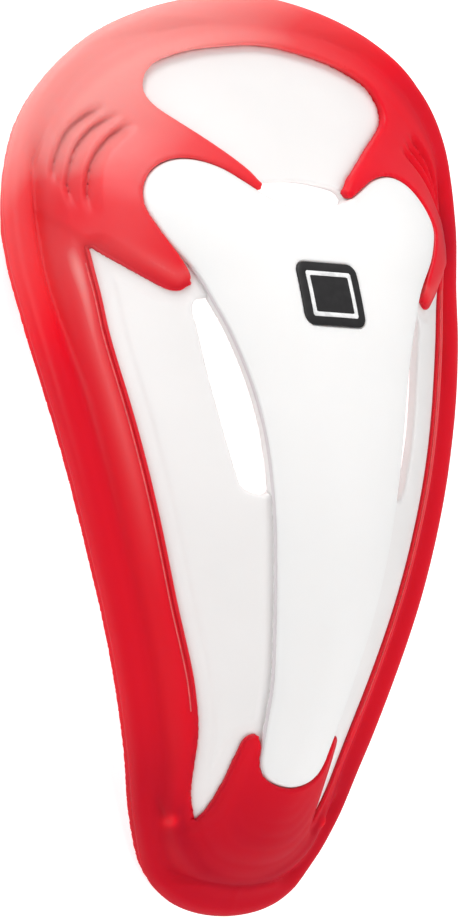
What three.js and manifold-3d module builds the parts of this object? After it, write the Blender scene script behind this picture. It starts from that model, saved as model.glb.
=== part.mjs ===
// Athletic protective cup: a rigid vented shell with a raised centre plate, a soft gel perimeter
// whose claws grip both, and a plain badge. Millimetres, +Z up and out of the dome.
// The cup lies on the back of its rim: +X is its width, +Y runs up to the wide end.
import * as THREE from "three";
import { mergeVertices } from "three/addons/utils/BufferGeometryUtils.js";
import Module from "manifold-3d";

const wasm = await Module();
wasm.setup();

// ---- Driving dimensions -------------------------------------------------------------------

const LENGTH = 156; // narrow tip to wide end, along Y
const BEAD_RADIUS = 2.6; // half height of the soft bead round the outline
const RIM_DEPTH = 3.6; // from the middle of the bead down to the back of the rim
const CREASE_IN = 4.8; // from the outline in to the crease behind the bead
const CREASE_UP = 1.3; // crease above the middle of the bead
const BAND_IN = 10.2; // from the outline in to where the gel band stops
const SHELL_EDGE_IN = 5.9; // from the outline in to the hidden edge of the shell
const SHELL_THICK = 2.7; // base shell, measured straight down
const LEDGE_THICK = 0.9; // ledge of the base shell under the edge of the centre plate
const LEDGE_WIDE = 2.4;
const PLATE_RAISE = 1.3; // top of the centre plate above the base shell
const GEL_RAISE = 1.6; // top of the gel claws above the base shell
const GAP = 0.3; // clearance between neighbouring pieces
const BADGE_WIDE = 12.4;
const BADGE_TALL = 10.8;
const BADGE_CORNER = 1.8;
const BADGE_Y = 104;
const BADGE_RECESS = 0.6; // depth of the shallow seat that the badge sits in
const BADGE_PROUD = 0.2; // badge above the plate round it
const AROUND = 88; // stations round the outline
const TALL = 80; // height of the cutting prisms

// Right-hand half of the plan outline of the rim, from the wide end to the narrow tip.
const OUTLINE = [
  [0, LENGTH], [11.2, 154.8], [22.5, 151.6], [33.6, 146], [41, 139], [45.3, 131], [47.4, 120],
  [46.6, 108], [44.6, 96], [40.2, 78], [34.8, 59], [28.2, 39], [24, 26], [20.8, 15.5], [16.6, 7.4],
  [10, 2], [0, 0],
];

// Plan outlines of the plates, the windows in the gel and the vents: right-hand halves for the
// pieces on the midline, and whole outlines for the right one of each pair.
const CENTRE_PLATE = [
  [0, 21.6], [3.4, 22.3], [5.4, 23.6], [6.6, 25.8], [7, 28], [8.8, 36], [11.7, 53], [13.9, 70],
  [15.4, 80], [17.2, 88], [19.8, 96], [22.4, 101.8], [25.4, 108.3], [28.6, 113.6], [30.2, 117.4],
  [29.9, 120.2], [28.3, 123], [25.8, 125], [22.6, 126], [19.4, 125.9], [15.8, 124.8], [12, 122.6],
  [9.3, 121], [5.4, 119.4], [0, 118.7],
];
const FOREHEAD_WINDOW = [
  [0, 147.6], [9.7, 146.6], [17.7, 144.9], [21.8, 143.2], [24.4, 140.8], [25.3, 138], [24.7, 136.2],
  [23.4, 134.8], [17, 130], [10.5, 124.6], [9, 122.8], [7.4, 121.9], [4.4, 121.6], [0, 121.5],
];
const SIDE_WINDOW = [
  [24.3, 104.4], [25.4, 103.6], [27, 103.6], [29.9, 105.4], [33.4, 108], [36.4, 110.2],
  [35.4, 103.3], [34.2, 96], [30.8, 81.6], [27, 67.1], [22.8, 52.6], [17.7, 38], [15.6, 30.5],
  [14.6, 24], [13.7, 18.4], [12.8, 15.4], [11.6, 17], [10.6, 21.4], [10, 26.8], [9.5, 29.8],
  [8.7, 30.4], [7.4, 30.6], [6, 34], [9.6, 53], [11.8, 70], [13, 80], [15, 88], [17.4, 96],
  [20.2, 102], [22.2, 104.2],
];
const SLOT = [
  [12.6, 70.3], [15.4, 70.3], [16.9, 71.4], [17.7, 73.6], [19.7, 80.5], [21.6, 89], [23.2, 98],
  [23.7, 100.6], [23.2, 102], [21.8, 102.3], [19.4, 102.3], [15.8, 92], [13, 80],
];
const LENS = [
  [0, 118.4], [5.6, 119.1], [9.4, 120.9], [9.2, 121.8], [8.6, 122.4], [4.4, 123.2], [0, 123.5],
];

// Heights along the length, as [y, z] knots: the middle of the bead, which bows off the surface
// halfway along, the midline of the base shell, and the exponent of its cross-section.
const RIM_Z = curveThrough([
  [0, 3], [5, 3.2], [12, 5.3], [20, 7.5], [32, 10.4], [45, 12.4], [57, 13], [72, 12.3], [85, 10.3],
  [98, 7.2], [110, 4.1], [122, 3], [134, 4], [146, 6], [156, 6.8],
]);
const CROWN_Z = curveThrough([
  [4.8, 7], [12, 14], [21.7, 20.9], [30, 25.3], [40, 29.8], [50, 32.9], [60, 34.8], [70, 35.5],
  [80, 35.1], [90, 33.6], [100, 31.2], [110, 27.4], [119, 23.2], [124, 21], [135, 15.8],
  [147.5, 9.6], [151.5, 8.2],
]);
const FULLNESS = curveThrough([
  [0, 1.9], [30, 1.75], [45, 1.75], [60, 1.85], [80, 2.05], [95, 2.2], [105, 2.6], [117, 3.7],
  [124, 3], [132, 2.1], [145, 1.9], [156, 2],
]);

// ---- Curves and the dome ------------------------------------------------------------------

// A smooth function of one variable through [x, value] knots (cubic Hermite).
function curveThrough(knots) {
  const slope = knots.map((_, i) => {
    const [x0, v0] = knots[Math.max(i - 1, 0)];
    const [x1, v1] = knots[Math.min(i + 1, knots.length - 1)];
    return (v1 - v0) / (x1 - x0);
  });
  return (x) => {
    const last = knots.length - 2;
    let i = 0;
    while (i < last && x > knots[i + 1][0]) i++;
    const width = knots[i + 1][0] - knots[i][0];
    const t = THREE.MathUtils.clamp((x - knots[i][0]) / width, 0, 1);
    const rise = t * t * (3 - 2 * t);
    return (
      knots[i][1] * (1 - rise) +
      knots[i + 1][1] * rise +
      width * (slope[i] * t * (1 - t) * (1 - t) - slope[i + 1] * t * t * (1 - t))
    );
  };
}

// A right-hand half outline that starts and ends on x = 0, closed by its mirror image.
function mirrored(half) {
  return [...half, ...half.slice(1, -1).reverse().map(([x, y]) => [-x, y])];
}

// Evenly spaced points on a smooth closed curve through the given points.
function smoothClosed(points, count) {
  const curve = new THREE.CatmullRomCurve3(
    points.map(([x, y]) => new THREE.Vector3(x, y, 0)),
    true,
  );
  return curve.getSpacedPoints(count).slice(0, count);
}

// Moves a closed run of points inwards by a distance, or outwards when it is negative.
function inset(points, distance) {
  const turn = Math.sign(THREE.ShapeUtils.area(points));
  return points.map((p, i) => {
    const before = points[(i + points.length - 1) % points.length];
    const along = points[(i + 1) % points.length].clone().sub(before).normalize();
    return new THREE.Vector3(
      p.x - along.y * turn * distance,
      p.y + along.x * turn * distance,
      0,
    );
  });
}

const rim = smoothClosed(mirrored(OUTLINE), AROUND);
const crease = inset(smoothClosed(mirrored(OUTLINE), 4 * AROUND), CREASE_IN);
const creaseLow = Math.min(...crease.map((p) => p.y));
const creaseHigh = Math.max(...crease.map((p) => p.y));

// Half the plan width inside the crease at a given y.
function creaseHalfWidth(y) {
  for (let i = 0; i < crease.length; i++) {
    const a = crease[i];
    const b = crease[(i + 1) % crease.length];
    if (a.x < 0 || b.x < 0 || a.y < y === b.y < y) continue;
    return Math.max(a.x + ((b.x - a.x) * (y - a.y)) / (b.y - a.y), 0.5);
  }
  return 0.5;
}

// Top of the base shell over any point of the plan.
function dome(x, y) {
  const inside = THREE.MathUtils.clamp(y, creaseLow + 0.01, creaseHigh - 0.01);
  const foot = RIM_Z(inside) + CREASE_UP;
  const across = Math.min(Math.abs(x) / creaseHalfWidth(inside), 1.3);
  return foot + (CROWN_Z(inside) - foot) * (1 - across ** FULLNESS(inside));
}

// ---- Solids -------------------------------------------------------------------------------

function solid(geometry) {
  geometry.deleteAttribute("normal");
  geometry.deleteAttribute("uv");
  const merged = mergeVertices(geometry, 1e-4);
  return new wasm.Manifold(
    new wasm.Mesh({
      numProp: 3,
      vertProperties: new Float32Array(merged.attributes.position.array),
      triVerts: new Uint32Array(merged.index.array),
    }),
  );
}

// A prism straight through the part, on a plan outline.
function prism(points) {
  const shape = new THREE.Shape(points.map((p) => new THREE.Vector2(p.x, p.y)));
  const geometry = new THREE.ExtrudeGeometry(shape, { depth: TALL, bevelEnabled: false, steps: 1 });
  return solid(geometry.translate(0, 0, -TALL / 4));
}

// A closed surface through rings of points: one ring after another, the last joined to the first
// when it wraps, or each end closed by folding its ring flat on the midline.
function ringsSolid(rings, wraps) {
  const geometry = new THREE.BufferGeometry().setFromPoints(rings.flat());
  const index = [];
  const bands = wraps ? rings.length : rings.length - 1;
  const count = rings[0].length;
  for (let r = 0; r < bands; r++) {
    const next = (r + 1) % rings.length;
    for (let i = 0; i < count; i++) {
      const j = (i + 1) % count;
      const [a, b, c, d] = [r * count + i, r * count + j, next * count + j, next * count + i];
      index.push(a, b, c, a, c, d);
    }
  }
  geometry.setIndex(index);
  const made = solid(geometry);
  if (made.volume() > 0) return made;
  for (let k = 0; k < index.length; k += 3) [index[k], index[k + 1]] = [index[k + 1], index[k]];
  geometry.setIndex(index);
  return solid(geometry);
}

// Plan rings from a distance inside the outline down to the midline of the cup.
const SPINE_LOW = 34;
const SPINE_HIGH = 112;
function planRings(distance) {
  const outer = inset(rim, distance);
  return [0, 0.07, 0.16, 0.32, 0.52, 0.76, 1].map((share) =>
    outer.map((p) => {
      const spineY = THREE.MathUtils.clamp(p.y, SPINE_LOW, SPINE_HIGH);
      return new THREE.Vector3(p.x * (1 - share), p.y + (spineY - p.y) * share, 0);
    }),
  );
}

// A sheet that follows the dome, between two offsets from it, inside a distance from the outline.
function domeSheet(lowOffset, highOffset, distance) {
  const rings = planRings(distance);
  const lift = (ring, offset) =>
    ring.map((p) => new THREE.Vector3(p.x, p.y, dome(p.x, p.y) + offset));
  return ringsSolid(
    [
      ...rings.map((ring) => lift(ring, highOffset)).reverse(),
      ...rings.map((ring) => lift(ring, lowOffset)),
    ],
    false,
  );
}

function both(points) {
  const flipped = points.map((p) => new THREE.Vector3(-p.x, p.y, 0)).reverse();
  return prism(points).add(prism(flipped));
}

const platePlan = smoothClosed(mirrored(CENTRE_PLATE), 96);
const foreheadPlan = smoothClosed(mirrored(FOREHEAD_WINDOW), 56);
const sidePlan = smoothClosed(SIDE_WINDOW, 76);
const slotPlan = smoothClosed(SLOT, 32);
const lensPlan = smoothClosed(mirrored(LENS), 24);

// Base shell: one moulding under the gel, with a ledge for the centre plate and three vents.
function baseShell() {
  const pocket = domeSheet(-SHELL_THICK + LEDGE_THICK, TALL / 4, SHELL_EDGE_IN).intersect(
    prism(inset(platePlan, -GAP)),
  );
  return domeSheet(-SHELL_THICK, 0, SHELL_EDGE_IN)
    .subtract(pocket)
    .subtract(prism(inset(platePlan, LEDGE_WIDE)))
    .subtract(both(slotPlan))
    .subtract(prism(lensPlan));
}

// Plan outline of the badge, a square with rounded corners, grown by a distance.
function badgePlan(grow) {
  const corner = BADGE_CORNER + grow;
  const sides = [[1, 1], [-1, 1], [-1, -1], [1, -1]];
  return sides.flatMap(([sideX, sideY], quarter) =>
    [0, 18, 36, 54, 72, 90].map((degrees) => {
      const angle = THREE.MathUtils.degToRad(90 * quarter + degrees);
      return new THREE.Vector3(
        sideX * (BADGE_WIDE / 2 - BADGE_CORNER) + corner * Math.cos(angle),
        BADGE_Y + sideY * (BADGE_TALL / 2 - BADGE_CORNER) + corner * Math.sin(angle),
        0,
      );
    }),
  );
}

// Centre plate: rests on the ledge, its top standing proud of the base shell round it.
function centrePlate() {
  const underside = -SHELL_THICK + LEDGE_THICK + GAP;
  const seat = domeSheet(PLATE_RAISE - BADGE_RECESS, TALL / 4, SHELL_EDGE_IN).intersect(
    prism(badgePlan(GAP)),
  );
  return domeSheet(underside, PLATE_RAISE, SHELL_EDGE_IN).intersect(prism(platePlan)).subtract(seat);
}

function badge() {
  return domeSheet(PLATE_RAISE - BADGE_RECESS + GAP, PLATE_RAISE + BADGE_PROUD, SHELL_EDGE_IN)
    .intersect(prism(badgePlan(0)));
}

// Section of the gel band round the outline, as [distance in, height function of x and y]: the
// bead, the crease, the band over the shell, the groove that holds its edge, and the flat back.
const back = (x, y) => Math.max(RIM_Z(y) - RIM_DEPTH, 0);
const BAND_SECTION = [
  [0, (x, y) => RIM_Z(y) + 0.35 * BEAD_RADIUS],
  [0.3 * BEAD_RADIUS, (x, y) => RIM_Z(y) + 0.77 * BEAD_RADIUS],
  [BEAD_RADIUS, (x, y) => RIM_Z(y) + BEAD_RADIUS],
  [CREASE_IN, (x, y) => RIM_Z(y) + CREASE_UP],
  [CREASE_IN + 2, (x, y) => dome(x, y) + 0.8 * GEL_RAISE],
  [BAND_IN, (x, y) => dome(x, y) + GEL_RAISE],
  [BAND_IN, (x, y) => dome(x, y) + GAP],
  [8, (x, y) => dome(x, y) + GAP],
  [SHELL_EDGE_IN - GAP, (x, y) => dome(x, y) + GAP],
  [SHELL_EDGE_IN - GAP, (x, y) => dome(x, y) - SHELL_THICK - GAP],
  [8, (x, y) => dome(x, y) - SHELL_THICK - GAP],
  [8, (x, y) => dome(x, y) - SHELL_THICK - 1.4],
  [6.8, back],
  [0.6 * BEAD_RADIUS, back],
  [0.2 * BEAD_RADIUS, (x, y) => RIM_Z(y) - 0.6 * BEAD_RADIUS],
  [0, (x, y) => RIM_Z(y) - 0.35 * BEAD_RADIUS],
];

// Gel perimeter: the band, and the claws, which are what is left of a sheet over the shell when
// the windows for the plates are cut out of it.
function gelPerimeter() {
  const rings = BAND_SECTION.map(([distance, height]) =>
    inset(rim, distance).map((p) => new THREE.Vector3(p.x, p.y, height(p.x, p.y))),
  );
  return ringsSolid(rings, true)
    .add(domeSheet(GAP, GEL_RAISE, BAND_IN - 1.5))
    .subtract(prism(inset(platePlan, -GAP)))
    .subtract(prism(foreheadPlan))
    .subtract(prism(lensPlan))
    .subtract(both(sidePlan));
}

// ---- The scene graph ----------------------------------------------------------------------

const rigidWhite = new THREE.MeshStandardMaterial({ color: 0xf1f0ee, roughness: 0.35, metalness: 0 });
const plateWhite = new THREE.MeshStandardMaterial({ color: 0xf6f6f4, roughness: 0.3, metalness: 0 });
const redGel = new THREE.MeshStandardMaterial({ color: 0xd2202e, roughness: 0.45, metalness: 0 });
const darkInk = new THREE.MeshStandardMaterial({ color: 0x2f2d2e, roughness: 0.5, metalness: 0 });

function mesh(name, made, material) {
  const data = made.getMesh();
  const geometry = new THREE.BufferGeometry();
  geometry.setAttribute("position", new THREE.BufferAttribute(data.vertProperties, data.numProp));
  geometry.setIndex(new THREE.BufferAttribute(data.triVerts, 1));
  geometry.computeVertexNormals();
  const piece = new THREE.Mesh(geometry, material);
  piece.name = name;
  return piece;
}

const group = new THREE.Group();
group.position.y = -LENGTH / 2;
group.add(
  mesh("base_shell", baseShell(), rigidWhite),
  mesh("centre_plate", centrePlate(), plateWhite),
  mesh("gel_perimeter", gelPerimeter(), redGel),
  mesh("badge", badge(), darkInk),
);

export default group;
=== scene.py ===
"""Athletic protective cup: a vented white shell, a raised centre plate, a soft red gel perimeter
and a plain badge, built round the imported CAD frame. Lengths inside the shaping code are
millimetres, with x from the midline and y from the narrow tip, as in the part's own source."""

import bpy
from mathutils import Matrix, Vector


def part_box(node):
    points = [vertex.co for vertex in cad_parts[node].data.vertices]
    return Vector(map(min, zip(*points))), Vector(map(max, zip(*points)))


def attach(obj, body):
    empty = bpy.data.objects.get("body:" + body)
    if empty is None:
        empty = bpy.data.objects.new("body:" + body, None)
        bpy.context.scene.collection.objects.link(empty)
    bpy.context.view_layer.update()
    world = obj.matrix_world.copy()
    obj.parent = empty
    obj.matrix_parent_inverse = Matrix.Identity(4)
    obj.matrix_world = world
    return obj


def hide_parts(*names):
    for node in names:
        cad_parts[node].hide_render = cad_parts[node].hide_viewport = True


bl_info = {
    "name": "Protective Cup Finish",
    "version": (1, 0, 0),
    "blender": (4, 5, 0),
    "location": "3D Viewport > Sidebar > Cup",
    "description": "Builds the shell, centre plate, gel, badge and studio of a protective cup",
    "category": "Object",
}

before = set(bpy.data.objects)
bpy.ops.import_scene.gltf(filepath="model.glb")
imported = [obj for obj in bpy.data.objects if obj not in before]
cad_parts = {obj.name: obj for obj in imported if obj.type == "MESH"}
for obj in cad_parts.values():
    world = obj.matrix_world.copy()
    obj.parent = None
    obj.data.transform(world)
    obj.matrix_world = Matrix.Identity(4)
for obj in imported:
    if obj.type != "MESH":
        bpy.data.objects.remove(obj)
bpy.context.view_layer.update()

import math
from types import SimpleNamespace

import bpy
import numpy as np
from mathutils import Matrix, Vector

MM = 1000.0  # millimetres in a metre
GEL_LOW, GEL_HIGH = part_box("gel_perimeter")
TIP_Y = GEL_LOW.y * MM
LENGTH = (GEL_HIGH.y - GEL_LOW.y) * MM

# ---- Driving dimensions, as in the part's source ---------------------------------------------

RIM_DEPTH = 3.6  # from the middle of the bead down to the back of the rim
CREASE_IN = 4.8  # from the outline in to the crease behind the bead
CREASE_UP = 1.3  # crease above the middle of the bead
SHELL_EDGE_IN = 7.0  # from the outline in to the hidden edge of the shell
GEL_UNDER = 1.1  # depth of the gel below the dome, where it lies in a rebate of the shell
LEDGE_WIDE = 2.4  # ledge of the shell under the edge of the centre plate
PLATE_INSET = 1.15  # the plate's visible edge, in from its plan outline along its waist
GROOVE_HALF_WIDE = 1.15  # of each bellows groove, in plan
HOLLOW = (39.5, 117.5)  # middle of the shallow hollow beside each lower finger
MOULD_MARK = (16, 15.6)  # small round moulding mark at each side of the narrow tip
LIP_RADIUS = 0.36
# The thin ridge in paler red along the gel band's shoulder is a painted highlight line.
HIGHLIGHT_LINE_RADIUS = 0.13
HIGHLIGHT_LINE_Y = (34, 108)
PLATE_EDGE_RADIUS = 0.5
PLATE_EDGE_Y = (24, 108)
BADGE_Y = 104.0
BADGE_WIDE = 12.4
BADGE_TALL = 10.8
BADGE_CORNER = 1.8
BADGE_SEAT = 0.5  # depth of the seat in the plate, below its top
BADGE_CHAMFER = 0.06

# Right-hand half of the plan outline of the rim, from the wide end to the narrow tip.
OUTLINE = [
    (0, LENGTH), (11.2, 154.8), (22.5, 151.6), (33.6, 146), (41, 139), (45.3, 131), (47.4, 120),
    (46.6, 108), (44.6, 96), (40.2, 78), (34.8, 59), (28.2, 39), (24, 26), (20.8, 15.5),
    (16.6, 7.4), (10, 2), (0, 0),
]
CENTRE_PLATE = [
    (0, 21.6), (3.4, 22.3), (5.4, 23.6), (6.6, 25.8), (7, 28), (8.8, 36), (11.7, 53), (13.9, 70),
    (15.4, 80), (17.2, 88), (19.8, 96), (22.4, 101.8), (25.4, 108.3), (28.6, 113.6),
    (30.2, 117.4), (29.9, 120.2), (28.3, 123), (25.8, 125), (22.6, 126), (19.4, 125.9),
    (15.8, 124.8), (12, 122.6), (9.3, 121), (5.4, 119.4), (0, 118.7),
]
FOREHEAD_WINDOW = [
    (0, 147.6), (9.7, 146.6), (17.7, 144.9), (21.8, 143.2), (24.4, 140.8), (25.3, 138),
    (24.7, 136.2), (23.4, 134.8), (17, 130), (10.5, 124.6), (9, 122.8), (7.4, 121.9),
    (4.4, 121.6), (0, 121.5),
]
# The side window, vent and lens are whole outlines of the right one of each pair or of the one
# on the midline; the side window's inner side runs under the centre plate.
SIDE_WINDOW = [
    (24.3, 104.4), (25.4, 103.6), (27, 103.6), (29.9, 105.4), (33.4, 107.9), (36, 109.9),
    (36.9, 110.8), (36.6, 109.4), (35.4, 103.3), (34.2, 96), (30.8, 81.6), (27, 67.1),
    (22.8, 52.6), (17.7, 38), (15.6, 30.5), (14.6, 24), (13.7, 18.4), (12.8, 15.4), (11.6, 17),
    (10.6, 21.4), (10, 26.8), (9.5, 29.8), (8.7, 30.4), (7.4, 30.6), (6, 34), (9.6, 53),
    (11.8, 70), (13, 80), (15, 88), (17.4, 96), (20.2, 102), (22.2, 104.2),
]
VENT = [
    (12.6, 70.3), (15.4, 70.3), (16.9, 71.4), (17.7, 73.6), (19.7, 80.5), (21.6, 89), (23.2, 98),
    (23.7, 100.6), (23.2, 102), (21.8, 102.3), (19.4, 102.3), (15.8, 92), (13, 80),
]
LENS = [
    (0, 118.4), (5.6, 119.1), (9.4, 120.9), (9.2, 121.8), (8.6, 122.4), (4.4, 123.2), (0, 123.5),
]
# Grooves between the bellows folds of each upper claw, outermost first.
BELLOWS = [
    [(31.6, 135.2), (33.2, 134.1), (35.5, 132.6), (37.7, 130.4), (39.2, 127.3), (40.1, 124.4),
     (40.3, 121.8), (40.1, 119.6)],
    [(29.4, 134), (31.3, 132.8), (34.2, 130.8), (36.7, 127.8), (38.2, 124.4), (38.9, 121),
     (38.8, 118.4), (38.3, 115.8)],
    [(27.6, 132.4), (29.7, 131.1), (32.5, 128.8), (35, 125.6), (36.4, 122.2), (36.9, 119.8),
     (37, 117.2), (36.7, 115)],
]
# Heights along the length, as (y, z) knots, and the exponent of the cross-section.
RIM_Z = [
    (0, 3), (5, 3.2), (12, 5.3), (20, 7.5), (32, 10.4), (45, 12.4), (57, 13), (72, 12.3),
    (85, 10.3), (98, 7.2), (110, 4.1), (122, 3), (134, 4), (146, 6), (156, 6.8),
]
CROWN_Z = [
    (4.8, 4.5), (7.6, 9.2), (12, 14), (21.7, 20.9), (30, 25.3), (40, 29.8), (50, 32.9),
    (60, 34.8), (70, 35.5), (80, 35.1), (90, 33.6), (100, 31.2), (110, 27.4), (119, 23.2),
    (124, 21), (135, 15.8), (147.5, 9.5), (151.2, 7.75),
]
FULLNESS = [
    (0, 1.9), (30, 1.75), (45, 1.75), (60, 1.85), (80, 2.05), (95, 2.2), (105, 2.6), (117, 3.7),
    (124, 3), (132, 2.1), (145, 1.9), (156, 2),
]


# ---- Curves and outlines ---------------------------------------------------------------------


def through(knots, at):
    """Values at the given places of a smooth curve through (place, value) knots."""
    place, value = np.array(knots, float).T
    slope = np.empty(len(place))
    slope[1:-1] = (value[2:] - value[:-2]) / (place[2:] - place[:-2])
    slope[0] = (value[1] - value[0]) / (place[1] - place[0])
    slope[-1] = (value[-1] - value[-2]) / (place[-1] - place[-2])
    at = np.clip(at, place[0], place[-1])
    i = np.clip(np.searchsorted(place, at, "right") - 1, 0, len(place) - 2)
    width = place[i + 1] - place[i]
    t = (at - place[i]) / width
    rise = t * t * (3 - 2 * t)
    bend = slope[i] * t * (1 - t) ** 2 - slope[i + 1] * t * t * (1 - t)
    return value[i] * (1 - rise) + value[i + 1] * rise + width * bend


def mirrored(half):
    """A whole outline from its right-hand half, which starts and ends on the midline."""
    return list(half) + [(-x, y) for x, y in reversed(half[1:-1])]


def smooth_run(points, closed, step=0.5):
    """Evenly spaced points on a smooth curve through the given points."""
    p = np.array(points, float)
    if not closed:
        p = np.vstack([2 * p[0] - p[1], p, 2 * p[-1] - p[-2]])
    before, here, after, beyond = (np.roll(p, shift, axis=0) for shift in (1, 0, -1, -2))
    if not closed:
        before, here, after, beyond = (run[1:-2] for run in (before, here, after, beyond))
    d0, d1, d2 = (
        np.linalg.norm(b - a, axis=1)[:, None] ** 0.5
        for a, b in ((before, here), (here, after), (after, beyond))
    )
    leave = (here - before) / d0 - (after - before) / (d0 + d1) + (after - here) / d1
    reach = (after - here) / d1 - (beyond - here) / (d1 + d2) + (beyond - after) / d2
    fine = []
    for t in np.linspace(0, 1, 12, endpoint=False):
        rise = t * t * (3 - 2 * t)
        bend = leave * t * (1 - t) ** 2 - reach * t * t * (1 - t)
        fine.append(here * (1 - rise) + after * rise + d1 * bend)
    curve = np.stack(fine, axis=1).reshape(-1, 2)
    curve = np.vstack([curve, curve[:1] if closed else p[-2:-1]])
    along = np.r_[0, np.cumsum(np.linalg.norm(np.diff(curve, axis=0), axis=1))]
    places = np.linspace(0, along[-1], max(int(along[-1] / step), 8), endpoint=not closed)
    return np.stack([np.interp(places, along, curve[:, k]) for k in (0, 1)], axis=1)


def run_distance(x, y, run, closed):
    """Distance from each plan point to a run of points, and where along it the nearest is."""
    ends = np.roll(run, -1, axis=0) if closed else run[1:]
    starts = run if closed else run[:-1]
    best = np.full(x.shape, 1e9)
    share = np.zeros(x.shape)
    for i, ((ax, ay), (bx, by)) in enumerate(zip(starts, ends)):
        dx, dy = bx - ax, by - ay
        t = np.clip(((x - ax) * dx + (y - ay) * dy) / (dx * dx + dy * dy), 0, 1)
        square = (x - ax - t * dx) ** 2 + (y - ay - t * dy) ** 2
        nearer = square < best
        best = np.where(nearer, square, best)
        share = np.where(nearer, (i + t) / len(starts), share)
    return np.sqrt(best), share


def signed_distance(x, y, run):
    """Distance to a closed outline, negative inside it."""
    inside = np.zeros(x.shape, bool)
    for (ax, ay), (bx, by) in zip(run, np.roll(run, -1, axis=0)):
        if ay != by:
            crosses = (ay > y) != (by > y)
            inside ^= crosses & (x < (bx - ax) * (y - ay) / (by - ay) + ax)
    distance, _ = run_distance(x, y, run, True)
    return np.where(inside, -distance, distance)


def left_normals(run):
    """Unit normals of a closed run of points, on the left of its direction."""
    along = np.roll(run, -1, axis=0) - np.roll(run, 1, axis=0)
    along /= np.linalg.norm(along, axis=1)[:, None]
    return np.stack([-along[:, 1], along[:, 0]], axis=1)


def smooth_step(low, high, value):
    """From 0 at one value to 1 at another, level at both ends."""
    t = np.clip((value - low) / (high - low), 0, 1)
    return t * t * (3 - 2 * t)


# ---- Plan maps -------------------------------------------------------------------------------

PLAN_STEP = 0.2
PLAN_WIDE = 52.0
PLAN_START = -4.0
PLAN_END = LENGTH + 4.0


def crease_half_width(y):
    """Half the plan width inside the crease behind the bead, and where the crease ends."""
    run = smooth_run(mirrored(OUTLINE), True)
    crease = run - CREASE_IN * left_normals(run)
    right = crease[crease[:, 0] >= 0]
    right = right[np.argsort(right[:, 1])]
    low, high = right[0, 1], right[-1, 1]
    return np.maximum(np.interp(y, right[:, 1], right[:, 0]), 0.5), low, high


def draw_plan():
    """Maps over the right half of the plan: distances to the outlines, and the dome."""
    across = np.arange(0, PLAN_WIDE + PLAN_STEP, PLAN_STEP)
    along = np.arange(PLAN_START, PLAN_END + PLAN_STEP, PLAN_STEP)
    x, y = np.meshgrid(across, along, indexing="ij")
    plan = {
        "rim": -signed_distance(x, y, smooth_run(mirrored(OUTLINE), True, 1.0)),
        "seat": signed_distance(x, y, smooth_run(mirrored(CENTRE_PLATE), True, 1.0)),
        "forehead": signed_distance(x, y, smooth_run(mirrored(FOREHEAD_WINDOW), True, 1.0)),
        "side": signed_distance(x, y, smooth_run(SIDE_WINDOW, True, 1.0)),
        "vent": signed_distance(x, y, smooth_run(VENT, True, 1.0)),
        "lens": signed_distance(x, y, smooth_run(mirrored(LENS), True, 1.0)),
    }
    waist = smooth_step(25, 40, y) * smooth_step(112, 104, y)
    plan["plate"] = plan["seat"] + PLATE_INSET * waist
    _, low, high = crease_half_width(along)
    inside = np.clip(y, low + 0.01, high - 0.01)
    width, _, _ = crease_half_width(inside)
    foot = through(RIM_Z, inside) + CREASE_UP
    share = np.minimum(x / width, 1.3)
    crown = through(CROWN_Z, inside)
    plan["dome"] = foot + (crown - foot) * (1 - share ** through(FULLNESS, inside))
    slope_x, slope_y = np.gradient(plan["dome"], PLAN_STEP)
    plan["steep"] = np.sqrt(1 + np.minimum(slope_x**2 + slope_y**2, 6))
    plan["bead"] = through(RIM_Z, y)
    grooves = np.zeros(x.shape)
    for run in BELLOWS:
        distance, share = run_distance(x, y, smooth_run(run, False, 1.0), False)
        fade = smooth_step(0, 0.2, share) * smooth_step(1, 0.75, share)
        grooves += fade * np.clip(1 - distance / GROOVE_HALF_WIDE, 0, 1) ** 1.1
    plan["bellows"] = grooves
    return plan


PLAN = draw_plan()


def plan_at(x, y):
    """The plan maps read at the given places, which may be on either side of the midline."""
    across = np.clip(np.abs(x) / PLAN_STEP, 0, PLAN_WIDE / PLAN_STEP - 1e-6)
    along = np.clip((y - PLAN_START) / PLAN_STEP, 0, PLAN["rim"].shape[1] - 1.001)
    i, j = across.astype(int), along.astype(int)
    s, t = across - i, along - j
    read = {}
    for name, values in PLAN.items():
        near = values[i, j] * (1 - t) + values[i, j + 1] * t
        far = values[i + 1, j] * (1 - t) + values[i + 1, j + 1] * t
        read[name] = near * (1 - s) + far * s
    return SimpleNamespace(x=np.abs(x), y=y, **read)


# ---- Solids as fields: negative inside, zero on the surface ----------------------------------


def both(first, second, radius=1e-6):
    """Where two solids overlap, with the edge between their faces rounded."""
    near = np.maximum(radius - np.abs(first - second), 0)
    return np.maximum(first, second) + near**2 / (4 * radius)


def joined(first, second, radius=1e-6):
    """Two solids as one, with a fillet in the corner between them."""
    return -both(-first, -second, radius)


def cut(solid, tool, radius=1e-6):
    """A solid with a tool taken away, the edge between them rounded."""
    return both(solid, -tool, radius)


def bump_at(p, place, spread):
    """A round bump of height 1 about a plan place and its mirror image."""
    return np.exp(-((p.x - place[0]) ** 2 + (p.y - place[1]) ** 2) / spread)


def crease_filled(p):
    """How far the crease behind the bead is filled, from 0 to 1: wholly at both ends."""
    ends = np.maximum(smooth_step(116, 132, p.y), smooth_step(40, 12, p.y))
    return np.maximum(ends, 0.35 * smooth_step(98, 76, p.y))


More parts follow.
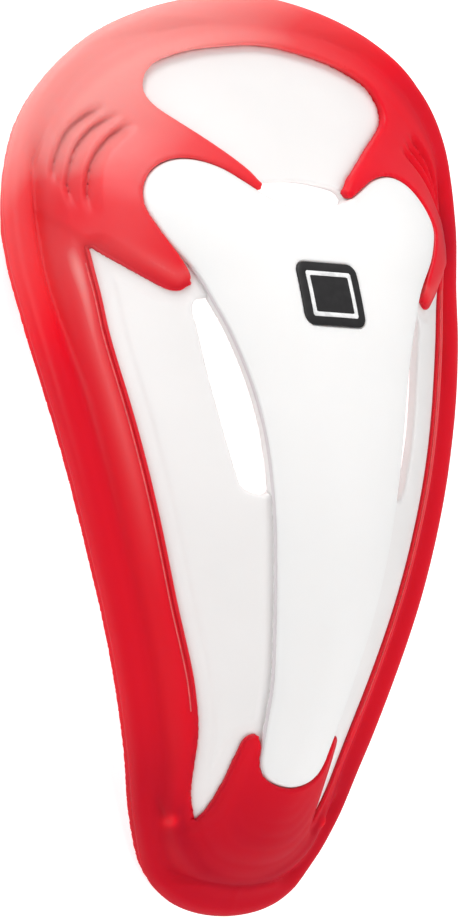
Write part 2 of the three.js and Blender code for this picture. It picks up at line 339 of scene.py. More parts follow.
def gel_top(p):
    """Height of the gel's outer surface above the dome."""
    sizes = bpy.context.scene.cup_gel
    raised = sizes.raised * MM
    # It rises from the crease behind the bead, except where the crease is filled.
    dip = (1 - np.clip((p.rim - CREASE_IN) / 4.0, 0, 1)) ** 2.2
    top = raised * (1 - dip * (1 - crease_filled(p)))
    # The band rounds over towards the side window and ends in a thin lip on the shell.
    top = top - 0.7 * np.clip((2.8 - p.side) / 1.8, 0, 1) ** 2
    top = top - 0.45 * (1 - smooth_step(0.75, 1.05, p.side)) * smooth_step(30, 50, p.y)
    # The claw stands a step above the band below it; step is the distance into the claw.
    step = -0.738 * (p.x - 43.0) + 0.675 * (p.y - 117.2)
    claw = smooth_step(-0.7, 0.7, step)
    top = top + 0.4 * claw * np.exp(-np.maximum(step, 0) / 5) - 0.15 * (1 - claw)
    # The narrow tip is fuller over the crease, with a small round moulding mark at each side.
    top = top + 1.5 * smooth_step(24, 10, p.y) * np.exp(-(((p.rim - 4.6) / 1.9) ** 2))
    top = top + 0.7 * bump_at(p, MOULD_MARK, 0.6)
    top = top - 0.4 * bump_at(p, HOLLOW, 14)
    # Folds of the bellows, and low ripples round the narrow tip.
    top = top - sizes.fold_depth * MM * p.bellows
    tip = smooth_step(15, 9, p.x) * smooth_step(22, 15, p.y) * smooth_step(5.2, 6.4, p.rim)
    ripple = np.abs(np.sin(math.pi * (p.rim - 6.2) / 2.3)) - 0.6
    return top + 0.08 * tip * ripple


def flange(p, z):
    """The edge of the shell that the gel is moulded round."""
    thick = bpy.context.scene.cup_shell.thickness * MM
    up = z - p.dome
    sheet = both((up + GEL_UNDER) / p.steep, (-up - thick) / p.steep)
    return both(sheet, SHELL_EDGE_IN - p.rim)


def gel_open(p):
    """Plan distance to the windows in the gel, negative inside them."""
    return np.minimum(np.minimum(p.seat - 0.12, p.forehead), np.minimum(p.side, p.lens))


def gel_field(p, z, shy=0.0):
    """The whole gel moulding; shy draws the edges of its claws back by a distance."""
    sizes = bpy.context.scene.cup_gel
    filled = crease_filled(p)
    # The bead is thinner where the crease behind it is filled.
    radius = sizes.bead_radius * MM - filled
    up = z - p.dome
    outer = (up - gel_top(p)) / p.steep
    back = np.maximum(p.bead - RIM_DEPTH, 0)
    bead = np.hypot(p.rim - radius, z - p.bead) - radius
    # Where the crease is filled, the band slopes straight down to the outline.
    slope = both(outer + 3.2 * (1 - filled), -p.rim, 3.0)
    slope = both(slope, both(p.bead - z, p.rim - 6))
    skirt = both(both(0.9 - p.rim, p.rim - 6.8), both(back - z, z - p.bead - 0.5), 0.4)
    wrap = both(both(outer, (-up - 4.1) / p.steep, 0.4), both(4.2 - p.rim, p.rim - 8, 0.4), 0.4)
    cover = both(both(outer, (-up - GEL_UNDER) / p.steep), 4.2 - p.rim)
    cover = cut(cover, gel_open(p) - shy, 0.7)
    # The crease behind the bead is sharp beside the claws, and soft along the waist.
    soft = 0.6 + 2.6 * smooth_step(104, 84, p.y) * smooth_step(8, 24, p.y)
    cover = joined(wrap, cover, 0.2)
    whole = joined(joined(bead, skirt, 0.5), cover, soft)
    whole = np.minimum(whole, joined(bead, slope, 2.0))
    whole = both(whole, back - z, 0.5)
    return np.maximum(whole, 0.1 - flange(p, z))


def plate_plug(p, z, grown=0.0):
    """The part of the plate that sits down in the shell's pocket, grown by a distance."""
    up = z - p.dome
    slab = both((up - 0.5) / p.steep - grown, (-up - 1.5) / p.steep - grown)
    return both(slab, p.plate + 0.8 * smooth_step(0.2, 1.2, p.vent) - grown, 0.5)


def plate_body(p, z):
    """The plate with its plug, before the seat of the badge is cut."""
    raised = bpy.context.scene.cup_plate.raised * MM
    up = z - p.dome
    cap = both((up - raised) / p.steep, p.plate, 0.5)
    cap = both(cap, (-0.35 - up) / p.steep)
    return joined(cap, plate_plug(p, z))


def badge_distance(x, y):
    """Plan distance to the badge's outline, a square with rounded corners."""
    dx = np.abs(x) - (BADGE_WIDE / 2 - BADGE_CORNER)
    dy = np.abs(y - BADGE_Y) - (BADGE_TALL / 2 - BADGE_CORNER)
    outside = np.hypot(np.maximum(dx, 0), np.maximum(dy, 0))
    return outside + np.minimum(np.maximum(dx, dy), 0) - BADGE_CORNER


def plate_field(p, z):
    """The whole centre plate."""
    raised = bpy.context.scene.cup_plate.raised * MM
    floor = (raised - BADGE_SEAT - (z - p.dome)) / p.steep
    seat = both(floor, badge_distance(p.x, p.y) - 0.15)
    return cut(plate_body(p, z), seat, 0.2)


def shell_field(p, z):
    """The whole shell: forehead, side panels, ledge and hidden flange."""
    thick = bpy.context.scene.cup_shell.thickness * MM
    up = z - p.dome
    # Each panel drops a little towards its gel border, as a faint step inside its edge.
    inset = np.minimum(-p.side, p.plate + 0.9)
    border = 0.25 * (1 - smooth_step(1.7, 2.3, inset)) * (p.forehead > 0)
    sheet = both((up + border) / p.steep, (-up - thick) / p.steep)
    sheet = both(sheet, SHELL_EDGE_IN + 0.1 - p.rim, 0.5)
    sheet = cut(sheet, np.minimum(p.vent, p.lens), 0.7)
    sheet = cut(sheet, plate_plug(p, z, -0.4))
    sheet = cut(sheet, p.plate + LEDGE_WIDE, 0.3)
    return np.maximum(sheet, 0.08 - gel_field(p, z, 0.6))


# ---- Meshes from fields ----------------------------------------------------------------------

CORNERS = np.array([(i, j, k) for i in (0, 1) for j in (0, 1) for k in (0, 1)])
CELL_EDGES = [
    (a, b)
    for a in range(8)
    for b in range(a + 1, 8)
    if np.abs(CORNERS[a] - CORNERS[b]).sum() == 1
]


def net(field, low, high, pitch):
    """Points and outward quads where a field crosses zero, one point in each mixed cell."""
    x, y, z = (np.arange(a - pitch, b + 2 * pitch, pitch) for a, b in zip(low, high))
    plan = plan_at(x[:, None] + 0 * y, y + 0 * x[:, None])
    value = np.stack([field(plan, height) for height in z], axis=2)
    inside = value < 0
    cells = [size - 1 for size in value.shape]
    filled = np.zeros(cells, int)
    for i, j, k in CORNERS:
        filled += inside[i : i + cells[0], j : j + cells[1], k : k + cells[2]]
    mixed = (filled > 0) & (filled < 8)
    place = np.argwhere(mixed)
    number = np.full(cells, -1)
    number[mixed] = np.arange(len(place))
    corner = np.stack([value[tuple((place + offset).T)] for offset in CORNERS], axis=1)
    total = np.zeros((len(place), 3))
    hits = np.zeros(len(place))
    for a, b in CELL_EDGES:
        crosses = (corner[:, a] < 0) != (corner[:, b] < 0)
        span = np.where(crosses, corner[:, a] - corner[:, b], 1)
        t = np.where(crosses, corner[:, a] / span, 0)
        point = CORNERS[a] + t[:, None] * (CORNERS[b] - CORNERS[a])
        total += point * crosses[:, None]
        hits += crosses
    points = np.array([x[0], y[0], z[0]]) + pitch * (place + total / hits[:, None])
    quads = []
    for axis in range(3):
        first = np.delete(inside, -1, axis=axis)
        second = np.delete(inside, 0, axis=axis)
        node = np.argwhere(first != second)
        u, v = np.eye(3, dtype=int)[[(axis + 1) % 3, (axis + 2) % 3]]
        quad = np.stack(
            [number[tuple((node - shift).T)] for shift in (u + v, v, 0 * u, u)], axis=1
        )
        leaving = first[tuple(node.T)]
        quads.append(np.where(leaving[:, None], quad, quad[:, ::-1]))
    return points, np.concatenate(quads)


def slope_of(field, points):
    """The field and its slope at points."""
    reach = 0.04
    x, y, z = points.T
    here = field(plan_at(x, y), z)
    slope = np.stack(
        [
            field(plan_at(x + reach, y), z) - here,
            field(plan_at(x, y + reach), z) - here,
            field(plan_at(x, y), z + reach) - here,
        ],
        axis=1,
    )
    return here, slope / reach


def neighbour_mean(quads, size):
    """A function that gives, for each point, the mean of a value over its neighbours."""
    pairs = np.concatenate([quads[:, [k, (k + 1) % 4]] for k in range(4)])
    count = np.maximum(np.bincount(pairs[:, 0], minlength=size), 1)
    return lambda value: np.bincount(pairs[:, 0], value[pairs[:, 1]], size) / count


def settle(points, quads, field, pitch, rounds=4):
    """Evens out the points and brings each back onto the surface."""
    mean = neighbour_mean(quads, len(points))
    for turn in range(rounds + 2):
        if turn < rounds:
            middle = np.stack([mean(points[:, k]) for k in range(3)], axis=1)
            points = points + 0.6 * (middle - points)
        here, slope = slope_of(field, points)
        square = np.maximum((slope**2).sum(axis=1), 0.05)
        move = here[:, None] * slope / square[:, None]
        length = np.linalg.norm(move, axis=1)[:, None]
        points = points - move * np.minimum(1, 0.5 * pitch / np.maximum(length, 1e-9))
    return points


def place_mesh(name, points, faces):
    """A smooth-shaded object from points in millimetres, its place kept in its mesh."""
    mesh = bpy.data.meshes.new(name)
    metres = (np.asarray(points) + (0, TIP_Y, 0)) / MM
    mesh.from_pydata(metres.tolist(), [], [[int(i) for i in face] for face in faces])
    mesh.update()
    mesh.shade_smooth()
    made = bpy.data.objects.new(name, mesh)
    bpy.context.scene.collection.objects.link(made)
    return made


def mould(name, field, span, pitch):
    """One closed piece from its field, with its points and quads."""
    points, quads = net(field, *span, pitch)
    points = settle(points, quads, field, pitch)
    return place_mesh(name, points, quads), points, quads


def finish_piece(made, material, node):
    """Gives a piece its material and body, and hides the CAD part that it replaces."""
    made.data.materials.clear()
    made.data.materials.append(material)
    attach(made, "root")
    if node:
        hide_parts(node)
    return made


# ---- Materials -------------------------------------------------------------------------------


def new_material(name):
    """A material with its node tree and shader."""
    material = bpy.data.materials.new(name)
    material.use_nodes = True
    tree = material.node_tree
    shader = tree.nodes["Principled BSDF"]
    return material, tree, shader


def object_noise(tree, scale, detail):
    """A noise fixed to the object."""
    where = tree.nodes.new("ShaderNodeTexCoord")
    noise = tree.nodes.new("ShaderNodeTexNoise")
    noise.inputs["Scale"].default_value = scale
    noise.inputs["Detail"].default_value = detail
    tree.links.new(where.outputs["Object"], noise.inputs["Vector"])
    return noise.outputs["Fac"]


def spread(tree, value, low, high):
    """Maps a noise onto a range."""
    reach = tree.nodes.new("ShaderNodeMapRange")
    reach.inputs["From Min"].default_value = 0.3
    reach.inputs["From Max"].default_value = 0.7
    reach.inputs["To Min"].default_value = low
    reach.inputs["To Max"].default_value = high
    tree.links.new(value, reach.inputs["Value"])
    return reach.outputs["Result"]


def grain(tree, shader, value, strength, distance):
    """A fine grain on a surface."""
    bump = tree.nodes.new("ShaderNodeBump")
    bump.inputs["Strength"].default_value = strength
    bump.inputs["Distance"].default_value = distance
    tree.links.new(value, bump.inputs["Height"])
    tree.links.new(bump.outputs["Normal"], shader.inputs["Normal"])


def colours(tree, value, stops):
    """Colours picked by a value between stops of (position, colour)."""
    ramp = tree.nodes.new("ShaderNodeValToRGB")
    ramp.color_ramp.elements[0].position = stops[0][0]
    ramp.color_ramp.elements[0].color = (*stops[0][1], 1)
    ramp.color_ramp.elements[1].position = stops[-1][0]
    ramp.color_ramp.elements[1].color = (*stops[-1][1], 1)
    for position, colour in stops[1:-1]:
        ramp.color_ramp.elements.new(position).color = (*colour, 1)
    tree.links.new(value, ramp.inputs["Fac"])
    return ramp.outputs["Color"]


def gel_material():
    """Soft gel, from pale to deep red by a tone attribute on its points, whose pale end is
    painted light and whose deep end is partly painted shade.
    """
    look = bpy.context.scene.cup_gel
    material, tree, shader = new_material("red_gel")
    depth = tree.nodes.new("ShaderNodeAttribute")
    depth.attribute_name = "gel_tone_and_painted_light"
    # The pale colour is painted light, and the deep colour is partly painted shade.
    deep, pale = Vector(look.deep_and_painted_shade_colour), Vector(look.painted_light_colour)
    bright = Vector(look.bright_colour)
    middle = bright.lerp(pale, 0.15)
    stops = [(0.0, pale), (0.38, middle), (0.72, bright), (1.0, deep)]
    colour = colours(tree, depth.outputs["Fac"], stops)
    tree.links.new(colour, shader.inputs["Base Color"])
    shader.inputs["Subsurface Weight"].default_value = 0.5
    shader.inputs["Subsurface Radius"].default_value = (1.0, 0.18, 0.14)
    shader.inputs["Subsurface Scale"].default_value = 0.003
    shader.inputs["IOR"].default_value = 1.5
    shader.inputs["Specular IOR Level"].default_value = 0.25
    tree.links.new(
        spread(tree, object_noise(tree, 260, 4), 0.34, 0.4), shader.inputs["Roughness"]
    )
    grain(tree, shader, object_noise(tree, 2600, 3), 0.06, 0.0001)
    return material


def shell_material(name, colour, tint):
    """Frosted rigid plastic."""
    look = bpy.context.scene.cup_shell
    material, tree, shader = new_material(name)
    base = colours(tree, object_noise(tree, 45, 3), [(0.3, tint), (0.7, colour)])
    tree.links.new(base, shader.inputs["Base Color"])
    shader.inputs["Subsurface Weight"].default_value = 0.35
    shader.inputs["Subsurface Radius"].default_value = (1.0, 0.95, 0.92)
    shader.inputs["Subsurface Scale"].default_value = 0.002
    shader.inputs["IOR"].default_value = 1.5
    tree.links.new(
        spread(tree, object_noise(tree, 180, 4), look.gloss, look.gloss + 0.1),
        shader.inputs["Roughness"],
    )
    grain(tree, shader, object_noise(tree, 1900, 3), 0.08, 0.0001)
    return material


def ink_material(name, colour):
    """A flat ink or matt line."""
    material, tree, shader = new_material(name)
    colour = Vector(colour)
    base = colours(
        tree, object_noise(tree, 700, 5), [(0.35, 0.85 * colour), (0.65, 1.1 * colour)]
    )
    tree.links.new(base, shader.inputs["Base Color"])
    tree.links.new(
        spread(tree, object_noise(tree, 900, 3), 0.42, 0.55), shader.inputs["Roughness"]
    )
    grain(tree, shader, object_noise(tree, 3000, 2), 0.15, 0.00005)
    return material


# ---- Geometry nodes --------------------------------------------------------------------------


def input_socket(tree, name):
    """Identifier of a named input of a node tree."""
    return next(
        item.identifier
        for item in tree.interface.items_tree
        if item.item_type == "SOCKET" and item.in_out == "INPUT" and item.name == name
    )


def ridge_tree(name, material):
    """A thin rounded ridge along each run of points."""
    tree = bpy.data.node_groups.new(name, "GeometryNodeTree")
    face = tree.interface
    face.new_socket("Geometry", in_out="INPUT", socket_type="NodeSocketGeometry")
    radius = face.new_socket("Ridge Radius", in_out="INPUT", socket_type="NodeSocketFloat")
    radius.subtype = "DISTANCE"
    radius.default_value = 0.0002
    sides = face.new_socket("Sides", in_out="INPUT", socket_type="NodeSocketInt")
    sides.default_value = 8
    face.new_socket("Geometry", in_out="OUTPUT", socket_type="NodeSocketGeometry")
    add = tree.nodes.new
    start = add("NodeGroupInput")
    curve = add("GeometryNodeMeshToCurve")
    ring = add("GeometryNodeCurvePrimitiveCircle")
    sweep = add("GeometryNodeCurveToMesh")
    real = add("GeometryNodeRealizeInstances")
    paint = add("GeometryNodeSetMaterial")
    end = add("NodeGroupOutput")
    sweep.inputs["Fill Caps"].default_value = True
    paint.inputs["Material"].default_value = material
    join = tree.links.new
    join(start.outputs["Geometry"], curve.inputs["Mesh"])
    join(start.outputs["Ridge Radius"], ring.inputs["Radius"])
    join(start.outputs["Sides"], ring.inputs["Resolution"])
    join(curve.outputs["Curve"], sweep.inputs["Curve"])
    join(ring.outputs["Curve"], sweep.inputs["Profile Curve"])
    join(sweep.outputs["Mesh"], real.inputs["Geometry"])
    join(real.outputs["Geometry"], paint.inputs["Geometry"])
    join(paint.outputs["Geometry"], end.inputs["Geometry"])
    return tree


def realised(source, tree, values, name):
    """Runs a node tree on an object and keeps the result as a plain mesh."""
    modifier = source.modifiers.new("nodes", "NODES")
    modifier.node_group = tree
    for label, value in values.items():
        modifier[input_socket(tree, label)] = value
    bpy.context.view_layer.update()
    graph = bpy.context.evaluated_depsgraph_get()
    mesh = bpy.data.meshes.new_from_object(source.evaluated_get(graph))
    mesh.name = name
    mesh.shade_smooth()
    source.modifiers.remove(modifier)
    bpy.data.objects.remove(source)
    made = bpy.data.objects.new(name, mesh)
    bpy.context.scene.collection.objects.link(made)
    return made


# ---- Settings --------------------------------------------------------------------------------


class CupShellSettings(bpy.types.PropertyGroup):
    thickness: bpy.props.FloatProperty(
        name="Thickness", description="Shell, measured straight down", default=0.0027,
        unit="LENGTH",
    )
    colour: bpy.props.FloatVectorProperty(
        name="Colour", description="Frosted white of the shell", default=(0.87, 0.852, 0.845),
        subtype="COLOR",
    )
    gloss: bpy.props.FloatProperty(
        name="Roughness", description="Lowest roughness of the frosted surface", default=0.3,
        subtype="FACTOR",
    )


class CupPlateSettings(bpy.types.PropertyGroup):
    raised: bpy.props.FloatProperty(
        name="Raised", description="Top of the centre plate above the shell", default=0.0013,
        unit="LENGTH",
    )
    colour: bpy.props.FloatVectorProperty(
        name="Colour", description="Frosted white of the plate", default=(0.9, 0.893, 0.887),
        subtype="COLOR",
    )


class CupGelSettings(bpy.types.PropertyGroup):
    bead_radius: bpy.props.FloatProperty(
        name="Bead Radius", description="Half height of the bead round the rim", default=0.0026,
        unit="LENGTH",
    )
    raised: bpy.props.FloatProperty(
        name="Raised", description="Top of the gel above the shell", default=0.0016,
        unit="LENGTH",
    )
    fold_depth: bpy.props.FloatProperty(
        name="Fold Depth", description="Depth of the bellows grooves", default=0.0017,
        unit="LENGTH",
    )
    # The deep colour is partly painted shade, round the narrow tip and in the hollows.
    deep_and_painted_shade_colour: bpy.props.FloatVectorProperty(
        name="Deep Colour", description="Gel round the narrow tip", default=(0.44, 0.004, 0.018),
        subtype="COLOR",
    )
    bright_colour: bpy.props.FloatVectorProperty(
        name="Bright Colour", description="Gel along the sides", default=(0.8, 0.008, 0.022),
        subtype="COLOR",
    )
    # The pale colour is painted light: at the wide end and left shoulder, along the band's
    # shoulder and on the moulding marks.
    painted_light_colour: bpy.props.FloatVectorProperty(
        name="Pale Colour", description="Gel at the wide end", default=(0.93, 0.42, 0.39),
        subtype="COLOR",
    )


class CupBadgeSettings(bpy.types.PropertyGroup):
    proud: bpy.props.FloatProperty(
        name="Proud", description="Badge above the plate round it", default=0.0001,
        unit="LENGTH",
    )
    colour: bpy.props.FloatVectorProperty(
        name="Colour", description="Ink of the badge", default=(0.022, 0.021, 0.022),
        subtype="COLOR",
    )


class CupStageSettings(bpy.types.PropertyGroup):
    floor_colour: bpy.props.FloatVectorProperty(
        name="Floor Colour", description="Plain pale floor", default=(0.8, 0.8, 0.8),
        subtype="COLOR",
    )
    floor_glow: bpy.props.FloatProperty(
        name="Floor Glow", description="Light that the floor gives off", default=0.7,
    )
    fill: bpy.props.FloatProperty(
        name="Fill", description="Light from all round", default=0.22,
    )


# ---- Operators -------------------------------------------------------------------------------

# The space in which each moulding is looked for, and the width of one face of its mesh.
SHELL_SPAN = ((-42, 4, 2), (42, 152, 37))
SHELL_PITCH = 0.5
PLATE_SPAN = ((-32, 20, 14), (32, 128, 38))
PLATE_PITCH = 0.42
GEL_SPAN = ((-48, -0.5, -0.5), (48, LENGTH + 0.5, 30))
GEL_PITCH = 0.5


class CUP_OT_shell(bpy.types.Operator):
    """Mould the vented white shell"""

    bl_idname = "cup.shell"
    bl_label = "Build Shell"

    def execute(self, context):
        shell, _, _ = mould("shell_moulding", shell_field, SHELL_SPAN, SHELL_PITCH)
        colour = Vector(context.scene.cup_shell.colour)
        material = shell_material("frosted_shell", colour, 0.97 * colour)
        finish_piece(shell, material, "base_shell")
        return {"FINISHED"}


class CUP_OT_plate(bpy.types.Operator):
    """Mould the raised centre plate"""

    bl_idname = "cup.plate"
    bl_label = "Build Centre Plate"

    def execute(self, context):
        plate, _, _ = mould("centre_plate_moulding", plate_field, PLATE_SPAN, PLATE_PITCH)
        colour = Vector(context.scene.cup_plate.colour)
        material = shell_material("frosted_plate", colour, 0.98 * colour)
        finish_piece(plate, material, "centre_plate")
        return {"FINISHED"}


def gel_tone_and_painted_light(points):
    """Tone of the gel at each point, from 0, pale, to 1, deep, with painted light and painted
    shade in it.
    """
    plan = plan_at(points[:, 0], points[:, 1])
    _, slope = slope_of(gel_field, points)
    inward = -slope / np.maximum(np.linalg.norm(slope, axis=1), 1e-6)[:, None]
    depth = np.zeros(len(points))
    for reach in (0.6, 1.2, 1.8, 2.6, 3.4, 4.4):
        spot = points + reach * inward
        depth += gel_field(plan_at(spot[:, 0], spot[:, 1]), spot[:, 2]) < 0
    # It is also deepest in colour round the narrow tip, which is painted shade, and palest at
    # the left shoulder, which is painted light.
    pale = smooth_step(114, 172, plan.y - 0.7 * points[:, 0])
    bright = np.maximum(smooth_step(0, 40, plan.y), 0.6 * smooth_step(5.5, 3.5, plan.rim))
    tone = 0.92 + 0.13 * depth / 6 - 0.72 * pale - 0.25 * bright
    # Painted shade makes it deeper in the hollow beside each lower finger, and a painted
    # highlight makes it paler along the shoulder of the band.
    tone += 0.3 * bump_at(plan, HOLLOW, 30)
    painted_highlight_stripe = smooth_step(50, 85, plan.y) * smooth_step(114, 106, plan.y)
    tone -= 0.4 * painted_highlight_stripe * np.exp(-(((plan.side - 2.3) / 0.8) ** 2))
    # A painted highlight makes it paler on the round moulding marks.
    tone -= 0.5 * bump_at(plan, MOULD_MARK, 0.6)
    return np.clip(tone, 0, 1)


def mark_tone_and_painted_light(made, points, quads=None):
    """Stores the gel's tone, with its painted light and painted shade, on a mesh, evened out
    along its faces.
    """
    depth = gel_tone_and_painted_light(points)
    if quads is not None:
        mean = neighbour_mean(quads, len(points))
        for _ in range(6):
            depth = 0.5 * depth + 0.5 * mean(depth)
    mark = made.data.attributes.new("gel_tone_and_painted_light", "FLOAT", "POINT")
    mark.data.foreach_set("value", depth.astype(np.float32))


class CUP_OT_gel(bpy.types.Operator):
    """Mould the soft red perimeter with its claws"""

    bl_idname = "cup.gel"
    bl_label = "Build Gel Perimeter"

    def execute(self, context):
        gel, points, quads = mould("gel_moulding", gel_field, GEL_SPAN, GEL_PITCH)
        mark_tone_and_painted_light(gel, points, quads)
        finish_piece(gel, gel_material(), "gel_perimeter")
        return {"FINISHED"}


def window_run(outset, clear):
    """The visible stretch of the right side window's outline, moved out into the gel."""
    run = smooth_run(SIDE_WINDOW, True, 0.5)
    run = run + outset * left_normals(run)
    shown = plan_at(run[:, 0], run[:, 1]).seat > clear
    start = np.flatnonzero(shown & ~np.roll(shown, 1))[0]
    return np.roll(run, -start, axis=0)[: shown.sum()]


def sweep_both_sides(name, line, height, material, radius):
    """A thin round ridge along a line and its mirror image, set at the given heights."""
    points, edges = [], []
    for side in (-1, 1):
        start = len(points)
        points += [(side * x, y, z) for (x, y), z in zip(line, height)]
        edges += [(start + i, start + i + 1) for i in range(len(line) - 1)]
    mesh = bpy.data.meshes.new(name + "_path")
    metres = (np.array(points) + (0, TIP_Y, 0)) / MM
    mesh.from_pydata(metres.tolist(), edges, [])
    path = bpy.data.objects.new(name + "_path", mesh)
    bpy.context.scene.collection.objects.link(path)
    tree = ridge_tree(name, material)
    return realised(path, tree, {"Ridge Radius": radius / MM, "Sides": 10}, name)


class CUP_OT_lines(bpy.types.Operator):
    """Run the rounded lip along each side window, and beside it a thin ridge in paler red that
    is a painted highlight line
    """

    bl_idname = "cup.lines"
    bl_label = "Build Lip and Parting Line"

    def execute(self, context):
        gel = bpy.data.materials["red_gel"]
        lip = window_run(0.3, 0.3)
        height = plan_at(lip[:, 0], lip[:, 1]).dome + 0.12
        ridge = sweep_both_sides("gel_lip", lip, height, gel, LIP_RADIUS)
        points = np.array([corner.co for corner in ridge.data.vertices]) * MM - (0, TIP_Y, 0)
        mark_tone_and_painted_light(ridge, points)
        finish_piece(ridge, gel, None)
        # A thin ridge in paler red along the band's shoulder: a painted highlight line.
        highlight_path = window_run(1.1, 5)
        highlight_path = highlight_path[np.argmax(highlight_path[:, 1]) :]
        low, high = HIGHLIGHT_LINE_Y
        highlight_path = highlight_path[(highlight_path[:, 1] > low) & (highlight_path[:, 1] < high)]
        plan = plan_at(highlight_path[:, 0], highlight_path[:, 1])
        material = ink_material("highlight_line_gel", (0.82, 0.12, 0.12))
        height = plan.dome + gel_top(plan) - 0.03
        name = "gel_highlight_line"
        ridge = sweep_both_sides(name, highlight_path, height, material, HIGHLIGHT_LINE_RADIUS)
        finish_piece(ridge, material, None)
        return {"FINISHED"}


class CUP_OT_plate_edge(bpy.types.Operator):
    """Run a rounded edge down both sides of the centre plate, its darker rose-grey a painted
    shade
    """

    bl_idname = "cup.plate_edge"
    bl_label = "Build Plate Edge"

    def execute(self, context):
        across = np.linspace(0, 34, 341)
        along = np.arange(*PLATE_EDGE_Y, 0.5)
        reach = [
            np.interp(-0.3, plan_at(across, np.full(len(across), y)).plate, across)
            for y in along
        ]
        line = np.stack([reach, along], axis=1)
        height = plan_at(line[:, 0], line[:, 1]).dome + 0.42
        # The rose-grey of this edge is painted shade.
        material = shell_material("plate_edge_painted_shade", Vector((0.74, 0.68, 0.7)), (0.7, 0.64, 0.66))
        ridge = sweep_both_sides("plate_edge", line, height, material, PLATE_EDGE_RADIUS)
        finish_piece(ridge, material, None)
        return {"FINISHED"}


def badge_slab(name, outer, inner, bottom, top):
    """A closed slab on the dome: a rounded square, or, with an inner inset, a ring of it."""
    rounds = 96
    angle = np.linspace(0, 2 * math.pi, rounds, endpoint=False)
    rings = []

    def ring(inset, height):
        reach = []
        for turn in angle:
            low, high = 0.0, 12.0
            for _ in range(30):
                middle = (low + high) / 2
                x, y = middle * math.cos(turn), BADGE_Y + middle * math.sin(turn)
                if badge_distance(x, y) < -inset:
                    low = middle
                else:
                    high = middle
            reach.append(low)
        x = np.array(reach) * np.cos(angle)
        y = BADGE_Y + np.array(reach) * np.sin(angle)
        rings.append(np.stack([x, y, plan_at(x, y).dome + height], axis=1))

    ring(outer, bottom)
    ring(outer, top - BADGE_CHAMFER)
    ring(outer + BADGE_CHAMFER, top)
    if inner is None:
        for inset in (1.2, 2.4, 3.6, 4.8):
            ring(outer + inset, top)
    else:
        ring(inner - BADGE_CHAMFER, top)
        ring(inner, top - BADGE_CHAMFER)
        ring(inner, bottom)
    points = np.concatenate(rings)
    faces = []
    for r in range(len(rings) - 1):
        for i in range(rounds):
            j = (i + 1) % rounds
            a, b = r * rounds, (r + 1) * rounds
            faces.append((a + i, a + j, b + j, b + i))
    last = (len(rings) - 1) * rounds
    if inner is None:
        faces.append(tuple(last + i for i in range(rounds)))
        faces.append(tuple(reversed(range(rounds))))
    else:
        for i in range(rounds):
            j = (i + 1) % rounds
            faces.append((last + i, last + j, j, i))
    return place_mesh(name, points, faces)


class CUP_OT_badge(bpy.types.Operator):
    """Set the plain badge into the plate"""

    bl_idname = "cup.badge"
    bl_label = "Build Badge"

    def execute(self, context):
        look = context.scene.cup_badge
        raised = context.scene.cup_plate.raised * MM
        top = raised + look.proud * MM
        badge = badge_slab("badge_plate", 0.0, None, raised - 0.45, top)
        finish_piece(badge, ink_material("badge_ink", look.colour), "badge")
        border = badge_slab("badge_border", 1.5, 2.3, top - 0.05, top + 0.04)
        white = ink_material("badge_border_ink", (0.85, 0.85, 0.85))
        finish_piece(border, white, None)
        return {"FINISHED"}


def aim(thing, place, target):
    """Places a light so that it points at a target."""
    thing.location = place
    direction = Vector(target) - Vector(place)
    thing.rotation_euler = direction.to_track_quat("-Z", "Y").to_euler()


# Name, place and size in metres, power, and whether the gloss of the cup shows it.
SOFTBOXES = [
    ("softbox_left", (-1.15, 0.35, 0.75), (1.0, 0.6), 4.4, True),
    ("softbox_top", (-0.45, 1.35, 0.45), (1.2, 0.6), 14, True),
    ("softbox_right", (1.2, 0.6, 0.5), (1.0, 0.4), 4, False),
    ("softbox_front", (0.4, -0.75, 1.2), (1.0, 0.8), 15, False),
]
FLOOR_HALF = 3.0
CAMERA_ANGLES = (36, -3, 1)  # degrees: turn to its left, tilt away from its tip, and roll
CAMERA_TARGET = (0, 0, 0.012)
CAMERA_SLIDE = (-0.005143, -0.000839)  # metres to its right and up, which frames the cup
CAMERA_LENS = 231.7


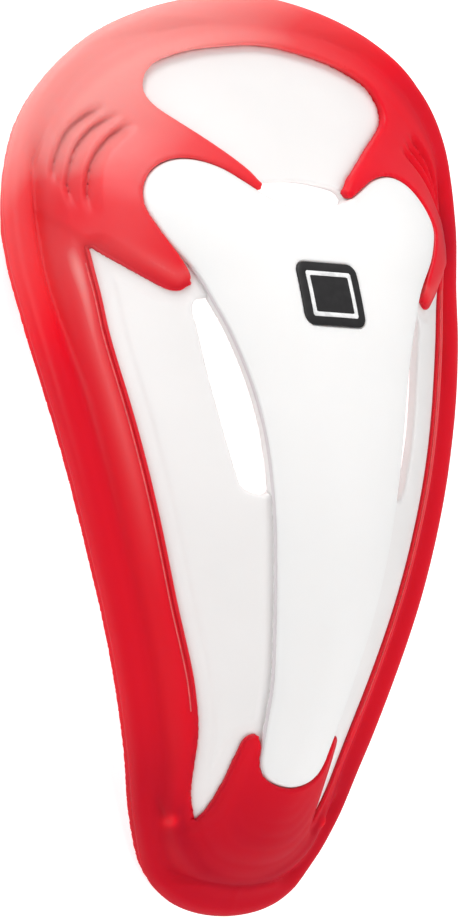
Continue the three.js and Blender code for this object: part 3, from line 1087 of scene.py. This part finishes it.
class CUP_OT_stage(bpy.types.Operator):
    """Set up the floor, the lights and the camera"""

    bl_idname = "cup.stage"
    bl_label = "Build Stage"

    def execute(self, context):
        scene = context.scene
        look = scene.cup_stage
        mesh = bpy.data.meshes.new("floor")
        half = FLOOR_HALF
        corners = [(-half, -half, 0), (half, -half, 0), (half, half, 0), (-half, half, 0)]
        mesh.from_pydata(corners, [], [(0, 1, 2, 3)])
        floor = bpy.data.objects.new("floor", mesh)
        scene.collection.objects.link(floor)
        material, tree, shader = new_material("floor_paper")
        pale = Vector(look.floor_colour)
        base = colours(tree, object_noise(tree, 3, 2), [(0.3, 0.985 * pale), (0.7, pale)])
        tree.links.new(base, shader.inputs["Base Color"])
        shader.inputs["Roughness"].default_value = 0.9
        shader.inputs["Specular IOR Level"].default_value = 0.1
        shader.inputs["Emission Color"].default_value = (1, 1, 1, 1)
        shader.inputs["Emission Strength"].default_value = look.floor_glow
        floor.data.materials.append(material)
        floor.visible_glossy = False

        world = bpy.data.worlds.new("studio")
        world.use_nodes = True
        world.node_tree.nodes["Background"].inputs["Color"].default_value = (1, 1, 1, 1)
        world.node_tree.nodes["Background"].inputs["Strength"].default_value = look.fill
        scene.world = world

        for name, place, size, power, shown in SOFTBOXES:
            light = bpy.data.lights.new(name, "AREA")
            light.shape = "RECTANGLE"
            light.size, light.size_y = size
            light.energy = power
            box = bpy.data.objects.new(name, light)
            scene.collection.objects.link(box)
            aim(box, place, (0, 0, 0.02))
            box.visible_glossy = shown

        self.place_camera(scene)
        scene.view_settings.view_transform = "Standard"
        return {"FINISHED"}

    def place_camera(self, scene):
        """A metre from the cup, turned to its left."""
        turn, tilt, roll = (math.radians(angle) for angle in CAMERA_ANGLES)
        back = Vector(
            (-math.sin(turn) * math.cos(tilt), math.sin(tilt), math.cos(turn) * math.cos(tilt))
        )
        level = Vector((math.cos(turn), 0, math.sin(turn)))
        upright = back.cross(level)
        right = level * math.cos(roll) + upright * math.sin(roll)
        up = upright * math.cos(roll) - level * math.sin(roll)
        slide_right, slide_up = CAMERA_SLIDE
        place = Vector(CAMERA_TARGET) + back + slide_right * right + slide_up * up
        data = bpy.data.cameras.new("camera")
        data.lens = CAMERA_LENS
        data.sensor_width = 36
        data.clip_start, data.clip_end = 0.01, 50
        camera = bpy.data.objects.new("camera", data)
        scene.collection.objects.link(camera)
        turned = Matrix((right, up, back)).transposed().to_4x4()
        camera.matrix_world = Matrix.Translation(place) @ turned
        scene.camera = camera


class CUP_PT_panel(bpy.types.Panel):
    """Sizes, colours and build steps of the cup"""

    bl_idname = "CUP_PT_panel"
    bl_label = "Protective Cup"
    bl_space_type = "VIEW_3D"
    bl_region_type = "UI"
    bl_category = "Cup"

    def draw(self, context):
        for group, operator in STEPS:
            column = self.layout.column(align=True)
            if group:
                settings = getattr(context.scene, group)
                for name in settings.__annotations__:
                    column.prop(settings, name)
            column.operator(operator.bl_idname)


STEPS = [
    ("cup_stage", CUP_OT_stage),
    ("cup_shell", CUP_OT_shell),
    ("cup_plate", CUP_OT_plate),
    ("cup_gel", CUP_OT_gel),
    (None, CUP_OT_lines),
    (None, CUP_OT_plate_edge),
    ("cup_badge", CUP_OT_badge),
]
GROUPS = {
    "cup_shell": CupShellSettings,
    "cup_plate": CupPlateSettings,
    "cup_gel": CupGelSettings,
    "cup_badge": CupBadgeSettings,
    "cup_stage": CupStageSettings,
}


def register():
    for name, group in GROUPS.items():
        bpy.utils.register_class(group)
        setattr(bpy.types.Scene, name, bpy.props.PointerProperty(type=group))
    for _, operator in STEPS:
        bpy.utils.register_class(operator)
    bpy.utils.register_class(CUP_PT_panel)


def unregister():
    bpy.utils.unregister_class(CUP_PT_panel)
    for _, operator in reversed(STEPS):
        bpy.utils.unregister_class(operator)
    for name, group in reversed(GROUPS.items()):
        delattr(bpy.types.Scene, name)
        bpy.utils.unregister_class(group)


def main():
    register()
    bpy.ops.cup.stage()
    bpy.ops.cup.shell()
    bpy.ops.cup.plate()
    bpy.ops.cup.gel()
    bpy.ops.cup.lines()
    bpy.ops.cup.plate_edge()
    bpy.ops.cup.badge()


if __name__ == "__main__":
    main()
